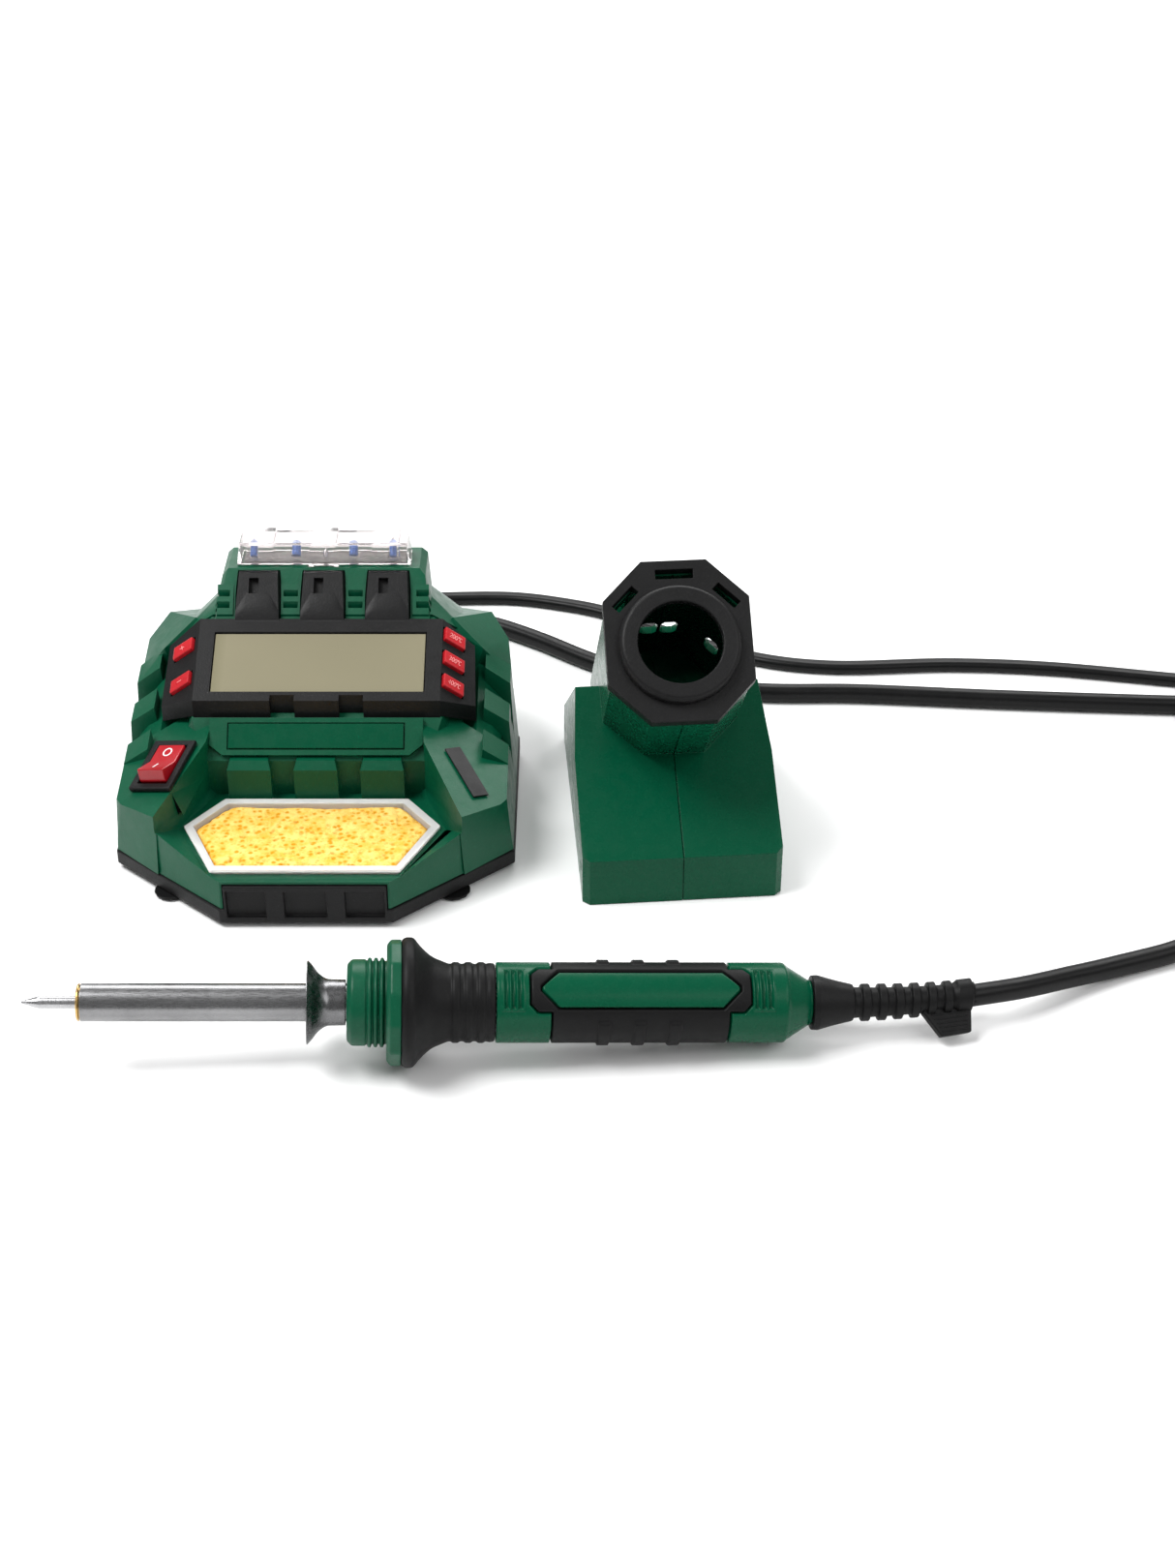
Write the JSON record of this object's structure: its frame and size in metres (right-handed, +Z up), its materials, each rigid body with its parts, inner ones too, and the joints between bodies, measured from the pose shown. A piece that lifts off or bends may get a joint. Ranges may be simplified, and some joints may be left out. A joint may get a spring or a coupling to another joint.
{
  "type": "soldering iron station",
  "caption": "Soldering iron station with a faceted control unit, sponge tray, tip case, separate iron holder, soldering iron with ribbed grip, and corded leads wound for storage.",
  "frame": {"origin": "on the table, under the middle of the box around the control unit, holder and iron together, free cords left out", "axes": "+Z up, +Y towards the back of the control unit, +X to the right of a person at its front"},
  "size_m": [0.4378, 0.3212, 0.0903],
  "materials": {
    "green_shell": "satin moulded plastic",
    "black_shell": "fine spark-eroded moulded plastic",
    "black_rubber": "soft matt",
    "cord": "satin PVC jacket",
    "red_plastic": "satin",
    "red_translucent": "glossy translucent",
    "steel": "plain",
    "chrome_steel": "polished, slightly brushed",
    "brass": "plain",
    "clear_plastic": "clear moulded plastic",
    "display_glass": "unlit liquid crystal display behind a clear window",
    "sponge": "open-pored cellulose sponge",
    "circuit_board": "solder mask",
    "blue_plastic": "satin",
    "ceramic": "matt",
    "steel_plate": "raw"
  },
  "bodies": {
    "root": {"base_tray": "black_shell", "upper_shell": "green_shell", "foot_1": "black_rubber", "foot_2": "black_rubber", "foot_3": "black_rubber", "foot_4": "black_rubber", "case_screw_1": "steel", "case_screw_2": "steel", "case_screw_3": "steel", "case_screw_4": "steel", "display_bezel": "black_shell", "display_window": "display_glass", "lcd_module": "circuit_board", "control_board": "circuit_board", "power_board": "circuit_board", "switch_bezel": "black_shell", "name_plate": "green_shell", "rating_strip": "black_shell", "tip_rack": "clear_plastic", "spare_tip_1": "blue_plastic", "spare_tip_2": "blue_plastic", "spare_tip_3": "blue_plastic", "spare_tip_4": "blue_plastic", "spare_tip_5": "blue_plastic", "mains_gland": "black_rubber", "lead_gland": "black_rubber", "mains_lead": "cord", "mains_coil": "cord", "mains_plug": "black_shell", "iron_lead_rear": "cord", "iron_lead_coil": "cord", "iron_lead_front": "cord"},
    "button_plus": {"button_plus": "red_plastic"},
    "button_minus": {"button_minus": "red_plastic"},
    "button_200": {"button_200": "red_plastic"},
    "button_300": {"button_300": "red_plastic"},
    "button_400": {"button_400": "red_plastic"},
    "rocker": {"switch_rocker": "red_translucent"},
    "tip_lid": {"tip_case_lid": "clear_plastic"},
    "tray": {"sponge_tray": "clear_plastic"},
    "sponge_pad": {"sponge": "sponge"},
    "holder": {"holder_left_shell": "green_shell", "holder_right_shell": "green_shell", "holder_front_plate": "black_shell", "holder_weight": "steel_plate"},
    "iron": {"iron_tip": "steel", "tip_end_ring": "brass", "heater_tube": "chrome_steel", "heating_element": "ceramic", "heat_shield": "chrome_steel", "front_nut": "green_shell", "handle_flange": "green_shell", "finger_guard": "black_rubber", "handle_shell": "green_shell", "grip_sleeve": "black_rubber", "handle_panel": "green_shell", "strain_relief": "black_rubber"}
  },
  "joints": [
    {"name": "button_plus_press", "type": "slide", "parent": "root", "child": "button_plus", "axis": [0.5371, 0.3506, -0.7672], "range_m": [0, 0.0008], "stiffness_N_per_m": 400},
    {"name": "button_minus_press", "type": "slide", "parent": "root", "child": "button_minus", "axis": [0.5371, 0.3506, -0.7672], "range_m": [0, 0.0008], "stiffness_N_per_m": 400},
    {"name": "button_200_press", "type": "slide", "parent": "root", "child": "button_200", "axis": [-0.5371, 0.3506, -0.7672], "range_m": [0, 0.0008], "stiffness_N_per_m": 400},
    {"name": "button_300_press", "type": "slide", "parent": "root", "child": "button_300", "axis": [-0.5371, 0.3506, -0.7672], "range_m": [0, 0.0008], "stiffness_N_per_m": 400},
    {"name": "button_400_press", "type": "slide", "parent": "root", "child": "button_400", "axis": [-0.5371, 0.3506, -0.7672], "range_m": [0, 0.0008], "stiffness_N_per_m": 400},
    {"name": "power_switch", "type": "hinge", "parent": "root", "child": "rocker", "pos_m": [-0.1022, 0.0003, 0.02968], "axis": [0.9162, -0.334, 0.2216], "range_deg": [0, 26]},
    {"name": "tip_case_hinge", "type": "hinge", "parent": "root", "child": "tip_lid", "pos_m": [-0.0589, 0.0684, 0.0658], "axis": [-1, 0, 0], "range_deg": [0, 95]},
    {"name": "sponge_tray_lift", "type": "slide", "parent": "root", "child": "tray", "axis": [0, 0, 1], "range_m": [0, 0.03]},
    {"name": "sponge_lift", "type": "slide", "parent": "tray", "child": "sponge_pad", "axis": [0, 0, 1], "range_m": [0, 0.02]},
    {"name": "holder_lift", "type": "slide", "parent": "root", "child": "holder", "axis": [0, 0, 1], "range_m": [0, 0.05]},
    {"name": "iron_lift", "type": "slide", "parent": "root", "child": "iron", "axis": [0, 0, 1], "range_m": [0, 0.06]}
  ]
}
